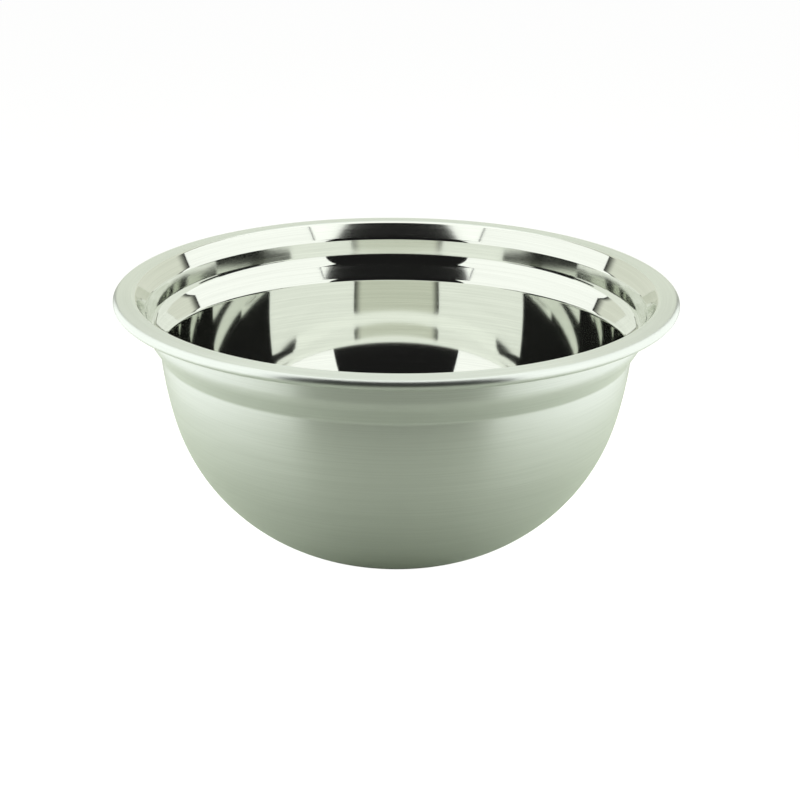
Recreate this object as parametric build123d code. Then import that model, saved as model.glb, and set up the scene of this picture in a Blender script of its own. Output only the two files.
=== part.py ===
"""A round stainless-steel mixing bowl, pressed in one piece from a single disc of sheet.

Millimetres, +Z up. The origin is the centre of the flat underside that the bowl stands on,
and the bowl is a body of revolution about Z. Diameters and heights are those of the outer
(under) face of the sheet unless their comment says otherwise; the sheet's thickness lies
inside that face. Every tilt is an angle from the vertical, and every slope an angle from
the horizontal.
"""
import os
from math import cos, radians, sin, tan

from build123d import *

# Overall size
HEIGHT = 120.4              # underside to the corner of the flange, before its bend
RIM_DIAMETER = 261.1        # over the rolled edge
FLANGE_DIAMETER = 242.2     # over the flange's inner corner, before its bend
SHEET = 0.6                 # thickness of the pressed sheet

# Deep body: a knuckle out of the flat base, then two tangent arcs up to the kink
KNUCKLE_RADIUS = 7.8
BELLY_RADIUS = 93.7
WALL_RADIUS = 172.0
BELLY_START_SLOPE = 21.3    # where the knuckle hands over to the belly
WALL_START_SLOPE = 74.06    # where the belly hands over to the wall
WALL_END_TILT = 5.8         # the wall is straight from here to the kink
KINK_DIAMETER = 218.3       # the concave corner under the ledge
KINK_HEIGHT = 93.25

# Stepped collar between the kink and the flange
LEDGE_TILT = 33.0           # sloping ledge, kink to crease
CREASE_HEIGHT = 102.15
NECK_TILT = 7.5             # steep neck, crease to flare
FLARE_HEIGHT = 112.25       # the short flare runs from here to the flange
KINK_RADIUS = 4.0           # radii of the bends, on the outer face
CREASE_RADIUS = 14.0
FLARE_RADIUS = 2.5
FLANGE_BEND_RADIUS = 1.7

# Flange and its rolled edge
FLANGE_FALL_SLOPE = 5.9     # the flange falls towards its outer edge
CURL_RADIUS = 1.8           # inside radius of the hollow roll
CURL_SWEEP = 255.0          # how far the edge is rolled round, in degrees


def body_rise(radius, slope_from, slope_to):
    """Height gained along an arc of the outer face between two slopes."""
    return radius * (cos(radians(slope_from)) - cos(radians(slope_to)))


def body_reach(radius, slope_from, slope_to):
    """Distance from the axis gained along the same arc."""
    return radius * (sin(radians(slope_to)) - sin(radians(slope_from)))


def body_arcs():
    """The body's arcs from base to kink as (radius, slope at start, slope at end)."""
    return [
        (KNUCKLE_RADIUS, 0.0, BELLY_START_SLOPE),
        (BELLY_RADIUS, BELLY_START_SLOPE, WALL_START_SLOPE),
        (WALL_RADIUS, WALL_START_SLOPE, 90.0 - WALL_END_TILT),
    ]


def flat_base_radius():
    """Radius of the flat underside that lets the arcs and the straight end at the kink."""
    wall_top = sum(body_rise(*arc) for arc in body_arcs())
    straight_reach = (KINK_HEIGHT - wall_top) * tan(radians(WALL_END_TILT))
    arcs_reach = sum(body_reach(*arc) for arc in body_arcs())
    return KINK_DIAMETER / 2 - straight_reach - arcs_reach


def collar_corners():
    """Corners of the outer face from the kink up to the start of the rolled edge."""
    kink = Vector(KINK_DIAMETER / 2, KINK_HEIGHT)
    ledge_rise = CREASE_HEIGHT - KINK_HEIGHT
    crease = kink + Vector(ledge_rise * tan(radians(LEDGE_TILT)), ledge_rise)
    neck_rise = FLARE_HEIGHT - CREASE_HEIGHT
    flare = crease + Vector(neck_rise * tan(radians(NECK_TILT)), neck_rise)
    flange_inner = Vector(FLANGE_DIAMETER / 2, HEIGHT - SHEET)
    roll_lean = CURL_RADIUS * sin(radians(FLANGE_FALL_SLOPE))
    roll_start_radius = RIM_DIAMETER / 2 - SHEET - CURL_RADIUS + roll_lean
    flange_fall = (roll_start_radius - flange_inner.X) * tan(radians(FLANGE_FALL_SLOPE))
    flange_outer = Vector(roll_start_radius, flange_inner.Y - flange_fall)
    return [kink, crease, flare, flange_inner, flange_outer]


def shifted(start, corners, depth):
    """The corners of the parallel line that runs at a depth to the left of start-corners."""
    quarter_turn = 90
    points = [start, *corners]
    normals = [
        (after - before).normalized().rotate(Axis.Z, quarter_turn)
        for before, after in zip(points, points[1:])
    ]
    moved = [
        corner + (arriving + leaving) * (depth / (1 + arriving.dot(leaving)))
        for corner, arriving, leaving in zip(corners, normals, normals[1:])
    ]
    return [*moved, corners[-1] + normals[-1] * depth]


def sheet_face(depth):
    """Draw the face of the sheet at a depth inside its outer face; return the line's ends."""
    base = Line((0, depth), (flat_base_radius(), depth))
    end = base @ 1
    tangent = base % 1
    outer_end = Vector(flat_base_radius(), 0)
    for radius, slope_from, slope_to in body_arcs():
        arc = JernArc(end, tangent, radius - depth, slope_to - slope_from)
        end = arc @ 1
        tangent = arc % 1
        reach = body_reach(radius, slope_from, slope_to)
        outer_end += Vector(reach, body_rise(radius, slope_from, slope_to))
    collar = FilletPolyline(
        end,
        *shifted(outer_end, collar_corners(), depth),
        radius=[
            KINK_RADIUS + depth,
            CREASE_RADIUS - depth,
            FLARE_RADIUS + depth,
            FLANGE_BEND_RADIUS + depth,
        ],
    )
    roll = JernArc(collar @ 1, collar % 1, CURL_RADIUS + depth, -CURL_SWEEP)
    return base @ 0, roll @ 1


def bowl():
    """The whole bowl: the section of its sheet revolved about Z."""
    with BuildPart() as part:
        with BuildSketch(Plane.XZ):
            with BuildLine():
                outer_ends = sheet_face(0)
                inner_ends = sheet_face(SHEET)
                for outer_end, inner_end in zip(outer_ends, inner_ends):
                    Line(outer_end, inner_end)
            make_face()
        revolve(axis=Axis.Z)
    return part.part


os.makedirs("parts", exist_ok=True)
export_step(bowl(), "parts/bowl.step")
print(f"flat base diameter {2 * flat_base_radius():.2f} mm")
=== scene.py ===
"""Looks of the stainless mixing bowl: its sheet as one fine mesh, its finishes and a soft studio.

Metres, +Z up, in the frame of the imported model. The bowl is a body of revolution about Z.
"""
import math

import bpy
import numpy as np
from mathutils import Matrix, Vector


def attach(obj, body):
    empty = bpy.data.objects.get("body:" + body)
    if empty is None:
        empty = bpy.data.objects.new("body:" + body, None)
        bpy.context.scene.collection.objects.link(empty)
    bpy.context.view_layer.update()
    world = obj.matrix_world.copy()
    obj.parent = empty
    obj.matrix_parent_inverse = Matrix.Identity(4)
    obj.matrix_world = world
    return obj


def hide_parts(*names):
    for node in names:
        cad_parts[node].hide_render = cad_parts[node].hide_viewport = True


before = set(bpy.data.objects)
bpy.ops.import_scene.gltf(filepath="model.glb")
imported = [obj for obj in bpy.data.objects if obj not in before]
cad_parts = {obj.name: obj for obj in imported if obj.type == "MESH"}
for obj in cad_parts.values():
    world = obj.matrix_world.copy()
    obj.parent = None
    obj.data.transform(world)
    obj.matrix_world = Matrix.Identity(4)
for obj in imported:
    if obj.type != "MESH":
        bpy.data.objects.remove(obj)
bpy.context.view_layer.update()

MM = 0.001

# ---- The bowl's section, in millimetres, as the design has it -------------------------------
HEIGHT = 120.4
RIM_DIAMETER = 261.1
FLANGE_DIAMETER = 242.2
SHEET = 0.6

KNUCKLE_RADIUS = 7.8
BELLY_RADIUS = 93.7
WALL_RADIUS = 172.0
BELLY_START_SLOPE = 21.3
WALL_START_SLOPE = 74.06
WALL_END_TILT = 5.8
KINK_DIAMETER = 218.3
KINK_HEIGHT = 93.25

LEDGE_TILT = 33.0
CREASE_HEIGHT = 102.15
NECK_TILT = 7.5
FLARE_HEIGHT = 112.25
KINK_RADIUS = 4.0
CREASE_RADIUS = 14.0
FLARE_RADIUS = 2.5
FLANGE_BEND_RADIUS = 1.7

FLANGE_FALL_SLOPE = 5.9
CURL_RADIUS = 1.8
CURL_SWEEP = 255.0

AROUND = 360                # facets round the axis
STRAIGHT_STEP = 1.6         # longest step along a straight, in mm
BEND_STEP = 4.0             # largest turn in one step of a bend, in degrees
SIZE_SLACK = 0.9999         # keeps the smooth mesh inside the faceted CAD box

# ---- Camera ---------------------------------------------------------------------------------
CAMERA_DISTANCE = 1.300     # from the middle of the rim
CAMERA_ELEVATION = 16.82
CAMERA_ROLL = 0.46
CAMERA_LENS = 126.58
AIM_BELOW_RIM = 0.0500      # the view's centre, measured in the picture plane
AIM_RIGHT_OF_RIM = 0.0020
SENSOR_WIDTH = 36           # mm
CLIP_END = 50               # metres

# ---- Finish ---------------------------------------------------------------------------------
POLISH_ROUGHNESS = 0.05
NECK_ROUGHNESS = 0.075
NECK_FOOT = 103.5           # height where the duller neck starts
NECK_BLEND = 1.5            # height over which the neck turns dull, in mm
FLARE_BLEND = 0.5           # the same at its top, to either side of the flare's start
SATIN_ROUGHNESS = 0.34

POLISH_COLOR = (0.81, 0.83, 0.78)
POLISH_DULL = (0.74, 0.76, 0.71)
SATIN_COLOR = (0.82, 0.86, 0.82)
SATIN_DULL = (0.76, 0.80, 0.76)
POLISH_ANISOTROPY = 0.6
SATIN_ANISOTROPY = 0.75
ANISOTROPY_TURN = 0.25      # a quarter turn: gloss is drawn out across the lines
POLISH_RELIEF = 0.0000004   # depth of the fine lines, in metres
SATIN_RELIEF = 0.000004
POLISH_STREAK = 0.8         # how much the lines vary the roughness
SATIN_STREAK = 0.5

# Lines round the axis: noise along the turn, noise across it per metre, and share in the mix
FINE_LINES = (1.5, 2600.0, 0.65)
BROAD_LINES = (2.0, 500.0, 0.35)
BROAD_DETAIL = 3.0
RADIUS_SHARE = 0.7          # lets the lines go on over level stretches, where height is constant
AXIS_CLEAR = 0.001          # metres from the axis inside which the turn is not worked out
SHADE_LOW = 0.3             # noise between these goes from the dull colour to the clear one
SHADE_HIGH = 0.7

# ---- Light tent, in metres and in brightness of its cloth ------------------------------------
TENT_HALF = 0.24            # half its width
TENT_FRONT = 0.30           # the open front, towards the camera
TENT_BACK = 0.24
TENT_HIGH = 0.50
CORNER_GAP = 0.004          # dark gap where the backdrop and roof meet the sides
TOP_FRONT = -0.18           # the lit part of the roof runs from here to the back
SIDE_LEVEL = 1.2
TOP_LEVEL = 1.3
BACKDROP_LEVEL = 0.9
BACKDROP_EDGE = 0.12        # how far its sides are dimmer, as a part of its width
DARK_LEVEL = 0.012          # what the bowl sees of the room outside the tent
EDGE_DIM = 0.15             # brightness left at the backdrop's sides
CLOTH_COLOR = (0.98, 1.0, 0.965)
BACKDROP_COLOR = (0.89, 0.92, 0.80)
FLOOR_COLOR = (0.74, 0.78, 0.67)
FLOOR_LIFT = 0.97           # light that only the camera sees on the floor
FLOOR_REACH = 6.0
MIRROR_BOUNCES = 12


# ---- Section --------------------------------------------------------------------------------
def collar_corners():
    """Corners of the outer face from the kink up to the start of the rolled edge."""
    kink = Vector((KINK_DIAMETER / 2, KINK_HEIGHT))
    ledge_rise = CREASE_HEIGHT - KINK_HEIGHT
    crease = kink + Vector((ledge_rise * math.tan(math.radians(LEDGE_TILT)), ledge_rise))
    neck_rise = FLARE_HEIGHT - CREASE_HEIGHT
    flare = crease + Vector((neck_rise * math.tan(math.radians(NECK_TILT)), neck_rise))
    flange_inner = Vector((FLANGE_DIAMETER / 2, HEIGHT - SHEET))
    roll_lean = CURL_RADIUS * math.sin(math.radians(FLANGE_FALL_SLOPE))
    roll_start_radius = RIM_DIAMETER / 2 - SHEET - CURL_RADIUS + roll_lean
    flange_fall = (roll_start_radius - flange_inner.x) * math.tan(math.radians(FLANGE_FALL_SLOPE))
    flange_outer = Vector((roll_start_radius, flange_inner.y - flange_fall))
    return [kink, crease, flare, flange_inner, flange_outer]


def sheet_path():
    """The outer face from the axis to the rolled edge, as steps of ("straight", length) and
    ("bend", radius, turn in degrees), where a turn to the left, up, is positive."""
    arcs = [
        (KNUCKLE_RADIUS, 0.0, BELLY_START_SLOPE),
        (BELLY_RADIUS, BELLY_START_SLOPE, WALL_START_SLOPE),
        (WALL_RADIUS, WALL_START_SLOPE, 90.0 - WALL_END_TILT),
    ]
    reach = sum(r * (math.sin(math.radians(b)) - math.sin(math.radians(a))) for r, a, b in arcs)
    rise = sum(r * (math.cos(math.radians(a)) - math.cos(math.radians(b))) for r, a, b in arcs)
    straight_reach = (KINK_HEIGHT - rise) * math.tan(math.radians(WALL_END_TILT))
    flat_radius = KINK_DIAMETER / 2 - straight_reach - reach
    steps = [("straight", flat_radius)]
    steps += [("bend", radius, end - start) for radius, start, end in arcs]
    corners = [Vector((flat_radius + reach, rise)), *collar_corners()]
    radii = [KINK_RADIUS, CREASE_RADIUS, FLARE_RADIUS, FLANGE_BEND_RADIUS]
    spent = 0.0
    for index, radius in enumerate(radii):
        arriving = corners[index + 1] - corners[index]
        leaving = corners[index + 2] - corners[index + 1]
        turn = math.degrees(
            math.atan2(leaving.y, leaving.x) - math.atan2(arriving.y, arriving.x)
        )
        tangent = radius * math.tan(math.radians(abs(turn) / 2))
        steps.append(("straight", arriving.length - spent - tangent))
        steps.append(("bend", radius, turn))
        spent = tangent
    steps.append(("straight", (corners[-1] - corners[-2]).length - spent))
    steps.append(("bend", CURL_RADIUS, -CURL_SWEEP))
    return steps


def face_line(depth):
    """Points of the face at a depth inside the outer face, each (radius, height, heading)."""
    radius, height, heading = 0.0, depth, 0.0
    line = [(radius, height, heading)]
    for step in sheet_path():
        if step[0] == "straight":
            count = max(1, math.ceil(step[1] / STRAIGHT_STEP))
            for _ in range(count):
                radius += step[1] / count * math.cos(heading)
                height += step[1] / count * math.sin(heading)
                line.append((radius, height, heading))
        else:
            bend = step[1] - math.copysign(depth, step[2])
            length_steps = math.ceil(math.radians(abs(step[2])) * bend / STRAIGHT_STEP)
            count = max(length_steps, math.ceil(abs(step[2]) / BEND_STEP))
            turn = math.radians(step[2]) / count
            chord = 2 * bend * math.sin(abs(turn) / 2)
            for _ in range(count):
                radius += chord * math.cos(heading + turn / 2)
                height += chord * math.sin(heading + turn / 2)
                heading += turn
                line.append((radius, height, heading))
    return line


# ---- Mesh -----------------------------------------------------------------------------------
def lathe(line, outward):
    """Points, exact normals and faces of the line's turn about Z; the line starts on the axis."""
    angles = np.linspace(0, 2 * math.pi, AROUND, endpoint=False)
    ring = np.stack([np.cos(angles), np.sin(angles), np.zeros(AROUND)], axis=1)
    side = -1.0 if outward else 1.0
    points = [np.array([[0, 0, line[0][1]]])]
    normals = [np.array([[0, 0, side]])]
    for radius, height, heading in line[1:]:
        points.append(ring * radius + [0, 0, height])
        normals.append(-side * math.sin(heading) * ring + [0, 0, side * math.cos(heading)])
    faces = []
    for step in range(AROUND):
        after = (step + 1) % AROUND
        faces.append((0, 1 + step, 1 + after))
    for row in range(len(line) - 2):
        low = 1 + row * AROUND
        high = low + AROUND
        for step in range(AROUND):
            after = (step + 1) % AROUND
            faces.append((low + step, high + step, high + after, low + after))
    if outward:
        faces = [tuple(reversed(face)) for face in faces]
    return np.concatenate(points) * MM * SIZE_SLACK, np.concatenate(normals), faces


def bowl_mesh():
    """The sheet's two faces and its cut edge as one closed mesh."""
    inner = face_line(SHEET)
    outer = face_line(0.0)
    inner_points, inner_normals, inner_faces = lathe(inner, outward=False)
    outer_points, outer_normals, outer_faces = lathe(outer, outward=True)
    shift = len(inner_points)
    faces = inner_faces + [tuple(i + shift for i in face) for face in outer_faces]
    inner_edge = shift - AROUND
    outer_edge = shift + len(outer_points) - AROUND
    for step in range(AROUND):
        after = (step + 1) % AROUND
        faces.append((inner_edge + step, outer_edge + step, outer_edge + after, inner_edge + after))
    mesh = bpy.data.meshes.new("bowl_sheet")
    mesh.from_pydata(np.concatenate([inner_points, outer_points]).tolist(), [], faces)
    mesh.polygons.foreach_set("use_smooth", [True] * len(mesh.polygons))
    mesh.update()
    mesh.normals_split_custom_set_from_vertices(
        np.concatenate([inner_normals, outer_normals]).tolist()
    )
    return mesh, inner


# ---- Materials ------------------------------------------------------------------------------
class Nodes:
    """Short calls for building one node tree."""

    def __init__(self, tree):
        self.nodes = tree.nodes
        self.links = tree.links

    def add(self, kind, settings=None, inputs=None):
        """A node with its settings, and its inputs set to values or linked to sockets."""
        node = self.nodes.new(kind)
        for key, value in (settings or {}).items():
            setattr(node, key, value)
        for key, value in (inputs or {}).items():
            self.feed(node.inputs[key], value)
        return node

    def feed(self, socket, value):
        """Give a socket a value, or link it when the value is another socket."""
        if isinstance(value, bpy.types.NodeSocket):
            self.links.new(value, socket)
        else:
            socket.default_value = value

    def maths(self, operation, *values):
        """The result of a maths node on values or sockets."""
        node = self.add("ShaderNodeMath", {"operation": operation})
        for socket, value in zip(node.inputs, values):
            self.feed(socket, value)
        return node.outputs[0]

    def ramp(self, value, low, high, from_value=0.0, to_value=1.0):
        """A smooth step of a value between low and high."""
        node = self.add(
            "ShaderNodeMapRange",
            {"interpolation_type": "SMOOTHSTEP"},
            {"Value": value, 1: low, 2: high, 3: from_value, 4: to_value},
        )
        return node.outputs["Result"]

    def noise(self, vector, scale, detail=2.0):
        """Noise around one half at a place and scale."""
        node = self.add(
            "ShaderNodeTexNoise", None, {"Vector": vector, "Scale": scale, "Detail": detail}
        )
        return node.outputs["Fac"]


def new_material(name):
    """A material with its node helper and its shader."""
    material = bpy.data.materials.new(name)
    material.use_nodes = True
    helper = Nodes(material.node_tree)
    return material, helper, material.node_tree.nodes["Principled BSDF"]


def object_place(helper):
    """The X, Y and Z of the shaded point in the bowl's own frame."""
    place = helper.add("ShaderNodeTexCoord").outputs["Object"]
    return helper.add("ShaderNodeSeparateXYZ", None, {0: place}).outputs


def round_the_axis(helper, along, across):
    """A place for noise that runs as lines round Z: stretched along the turn, fine across it."""
    parts = object_place(helper)
    x_squared = helper.maths("MULTIPLY", parts[0], parts[0])
    y_squared = helper.maths("MULTIPLY", parts[1], parts[1])
    radius = helper.maths("SQRT", helper.maths("ADD", x_squared, y_squared))
    safe_radius = helper.maths("MAXIMUM", radius, AXIS_CLEAR)
    turn_x = helper.maths("DIVIDE", parts[0], safe_radius)
    turn_y = helper.maths("DIVIDE", parts[1], safe_radius)
    level = helper.maths("ADD", parts[2], helper.maths("MULTIPLY", radius, RADIUS_SHARE))
    vector = helper.add(
        "ShaderNodeCombineXYZ",
        None,
        {
            0: helper.maths("MULTIPLY", turn_x, along),
            1: helper.maths("MULTIPLY", turn_y, along),
            2: helper.maths("MULTIPLY", level, across),
        },
    )
    return vector.outputs[0]


def worked_steel(name, color, dull, anisotropy, roughness, bump, streak):
    """Steel finished by lines round its axis; roughness(helper, height) gives its mean."""
    material, helper, shader = new_material(name)
    shader.inputs["Metallic"].default_value = 1.0
    shader.inputs["Anisotropic"].default_value = anisotropy
    shader.inputs["Anisotropic Rotation"].default_value = ANISOTROPY_TURN
    tangent = helper.add("ShaderNodeTangent", {"direction_type": "RADIAL", "axis": "Z"})
    helper.feed(shader.inputs["Tangent"], tangent.outputs[0])
    height = object_place(helper)[2]
    fine_along, fine_across, fine_share = FINE_LINES
    broad_along, broad_across, broad_share = BROAD_LINES
    lines = helper.noise(round_the_axis(helper, fine_along, fine_across), 1.0)
    bands = helper.noise(round_the_axis(helper, broad_along, broad_across), 1.0, BROAD_DETAIL)
    shared_bands = helper.maths("MULTIPLY", bands, broad_share)
    mottle = helper.maths("MULTIPLY_ADD", lines, fine_share, shared_bands)
    spread = helper.maths("MULTIPLY_ADD", helper.maths("SUBTRACT", mottle, 0.5), streak, 1.0)
    base = roughness(helper, height)
    helper.feed(shader.inputs["Roughness"], helper.maths("MULTIPLY", base, spread))
    shade = helper.add("ShaderNodeMix", {"data_type": "RGBA"})
    helper.feed(shade.inputs[0], helper.ramp(mottle, SHADE_LOW, SHADE_HIGH))
    helper.feed(shade.inputs[6], (*dull, 1))
    helper.feed(shade.inputs[7], (*color, 1))
    helper.feed(shader.inputs["Base Color"], shade.outputs[2])
    relief = helper.add(
        "ShaderNodeBump", None, {"Strength": 1.0, "Distance": bump, "Height": lines}
    )
    helper.feed(shader.inputs["Normal"], relief.outputs[0])
    return material


def polish_roughness(helper, height):
    """Mirror polish, with the steep neck left duller than the rest."""
    above_crease = helper.ramp(height, NECK_FOOT * MM, (NECK_FOOT + NECK_BLEND) * MM)
    blend_foot = (FLARE_HEIGHT - FLARE_BLEND) * MM
    blend_top = (FLARE_HEIGHT + FLARE_BLEND) * MM
    below_flare = helper.ramp(height, blend_foot, blend_top, 1.0, 0.0)
    neck = helper.maths("MULTIPLY", above_crease, below_flare)
    return helper.maths("MULTIPLY_ADD", neck, NECK_ROUGHNESS - POLISH_ROUGHNESS, POLISH_ROUGHNESS)


def satin_roughness(helper, height):
    """One even satin."""
    return SATIN_ROUGHNESS


# ---- Bowl -----------------------------------------------------------------------------------
def add_bowl():
    """The bowl, polished inside up to the flange and satin elsewhere."""
    mesh, inner_line = bowl_mesh()
    polished = worked_steel(
        "polished_inside",
        POLISH_COLOR,
        POLISH_DULL,
        POLISH_ANISOTROPY,
        polish_roughness,
        POLISH_RELIEF,
        POLISH_STREAK,
    )
    satin = worked_steel(
        "satin_outside",
        SATIN_COLOR,
        SATIN_DULL,
        SATIN_ANISOTROPY,
        satin_roughness,
        SATIN_RELIEF,
        SATIN_STREAK,
    )
    mesh.materials.append(polished)
    mesh.materials.append(satin)
    flange_row = next(
        row for row, point in enumerate(inner_line) if point[0] > FLANGE_DIAMETER / 2 - SHEET
    )
    slots = np.ones(len(mesh.polygons), dtype=np.int32)
    slots[:AROUND * flange_row] = 0
    mesh.polygons.foreach_set("material_index", slots)
    bowl = bpy.data.objects.new("mixing_bowl", mesh)
    bpy.context.scene.collection.objects.link(bowl)
    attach(bowl, "root")
    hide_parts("bowl")


# ---- Stage ----------------------------------------------------------------------------------
def glow(name, color, level, edge=0.0):
    """A glowing cloth; within a fraction `edge` of its width from its sides it is dimmer."""
    material, helper, shader = new_material(name)
    shader.inputs["Base Color"].default_value = (0, 0, 0, 1)
    shader.inputs["Specular IOR Level"].default_value = 0.0
    shader.inputs["Emission Color"].default_value = (*color, 1)
    shader.inputs["Emission Strength"].default_value = level
    if edge:
        place = helper.add("ShaderNodeTexCoord").outputs["Generated"]
        across = helper.add("ShaderNodeSeparateXYZ", None, {0: place}).outputs[0]
        middle = helper.maths("ABSOLUTE", helper.maths("SUBTRACT", across, 0.5))
        light = helper.ramp(middle, 0.5 - edge, 0.5, level, level * EDGE_DIM)
        helper.feed(shader.inputs["Emission Strength"], light)
    return material


def card(name, corners, material, seen=False):
    """A flat stage card through four corners, in metres."""
    data = bpy.data.meshes.new(name)
    data.from_pydata(corners, [], [(0, 1, 2, 3)])
    data.materials.append(material)
    obj = bpy.data.objects.new(name, data)
    bpy.context.scene.collection.objects.link(obj)
    obj.visible_camera = seen


def upright(name, start, end, low, high, material):
    """A standing card over the line from start to end on the floor."""
    corners = [(*start, low), (*end, low), (*end, high), (*start, high)]
    card(name, corners, material)


def add_tent():
    """White cloth at both sides and above, a pale green-grey backdrop, and an open dark front."""
    white = glow("cloth_white", CLOTH_COLOR, SIDE_LEVEL)
    above = glow("cloth_above", CLOTH_COLOR, TOP_LEVEL)
    backdrop = glow("backdrop", BACKDROP_COLOR, BACKDROP_LEVEL, BACKDROP_EDGE)
    for side in (-1, 1):
        end = (side * TENT_HALF, TENT_BACK - CORNER_GAP)
        upright(f"side{side}", (side * TENT_HALF, -TENT_FRONT), end, 0.0, TENT_HIGH, white)
    half = TENT_HALF - CORNER_GAP
    upright("backdrop", (-half, TENT_BACK), (half, TENT_BACK), 0.0, TENT_HIGH, backdrop)
    corners = [(-half, TOP_FRONT), (half, TOP_FRONT), (half, TENT_BACK), (-half, TENT_BACK)]
    card("above", [(*corner, TENT_HIGH) for corner in corners], above)


def add_floor():
    """A pale floor that the camera sees a little brighter than the bowl does."""
    material, helper, shader = new_material("floor_pale")
    shader.inputs["Base Color"].default_value = (*FLOOR_COLOR, 1)
    shader.inputs["Roughness"].default_value = 1.0
    shader.inputs["Specular IOR Level"].default_value = 0.0
    shader.inputs["Emission Color"].default_value = (1, 1, 1, 1)
    seen = helper.add("ShaderNodeLightPath").outputs["Is Camera Ray"]
    helper.feed(shader.inputs["Emission Strength"], helper.maths("MULTIPLY", seen, FLOOR_LIFT))
    turns = ((-1, -1), (1, -1), (1, 1), (-1, 1))
    corners = [(x * FLOOR_REACH, y * FLOOR_REACH, 0) for x, y in turns]
    card("floor", corners, material, seen=True)


def add_world():
    """White where the camera looks past the floor, nearly dark for everything else."""
    world = bpy.data.worlds.new("studio")
    bpy.context.scene.world = world
    world.use_nodes = True
    helper = Nodes(world.node_tree)
    background = world.node_tree.nodes["Background"]
    background.inputs["Color"].default_value = (1, 1, 1, 1)
    seen = helper.add("ShaderNodeLightPath").outputs["Is Camera Ray"]
    strength = helper.maths("MULTIPLY_ADD", seen, 1.0 - DARK_LEVEL, DARK_LEVEL)
    helper.feed(background.inputs["Strength"], strength)


# ---- Camera ---------------------------------------------------------------------------------
def add_camera():
    """The camera, which turns about the middle of the rim and aims a little below it."""
    flange_fall = (RIM_DIAMETER - FLANGE_DIAMETER) / 2 * math.tan(math.radians(FLANGE_FALL_SLOPE))
    rim_middle = Vector((0, 0, (HEIGHT - flange_fall) * MM))
    elevation = math.radians(CAMERA_ELEVATION)
    back = Vector((0, -math.cos(elevation), math.sin(elevation)))
    up = Vector((0, math.sin(elevation), math.cos(elevation)))
    aim = rim_middle - up * AIM_BELOW_RIM + Vector((AIM_RIGHT_OF_RIM, 0, 0))
    place = rim_middle + back * CAMERA_DISTANCE
    data = bpy.data.cameras.new("camera")
    data.sensor_width = SENSOR_WIDTH
    data.lens = CAMERA_LENS
    data.clip_end = CLIP_END
    camera = bpy.data.objects.new("camera", data)
    bpy.context.scene.collection.objects.link(camera)
    look = (aim - place).to_track_quat("-Z", "Y").to_matrix().to_4x4()
    roll = Matrix.Rotation(math.radians(CAMERA_ROLL), 4, "Z")
    camera.matrix_world = Matrix.Translation(place) @ look @ roll
    bpy.context.scene.camera = camera


add_bowl()
add_tent()
add_floor()
add_world()
add_camera()
bpy.context.scene.view_settings.view_transform = "Standard"
bpy.context.scene.cycles.glossy_bounces = MIRROR_BOUNCES
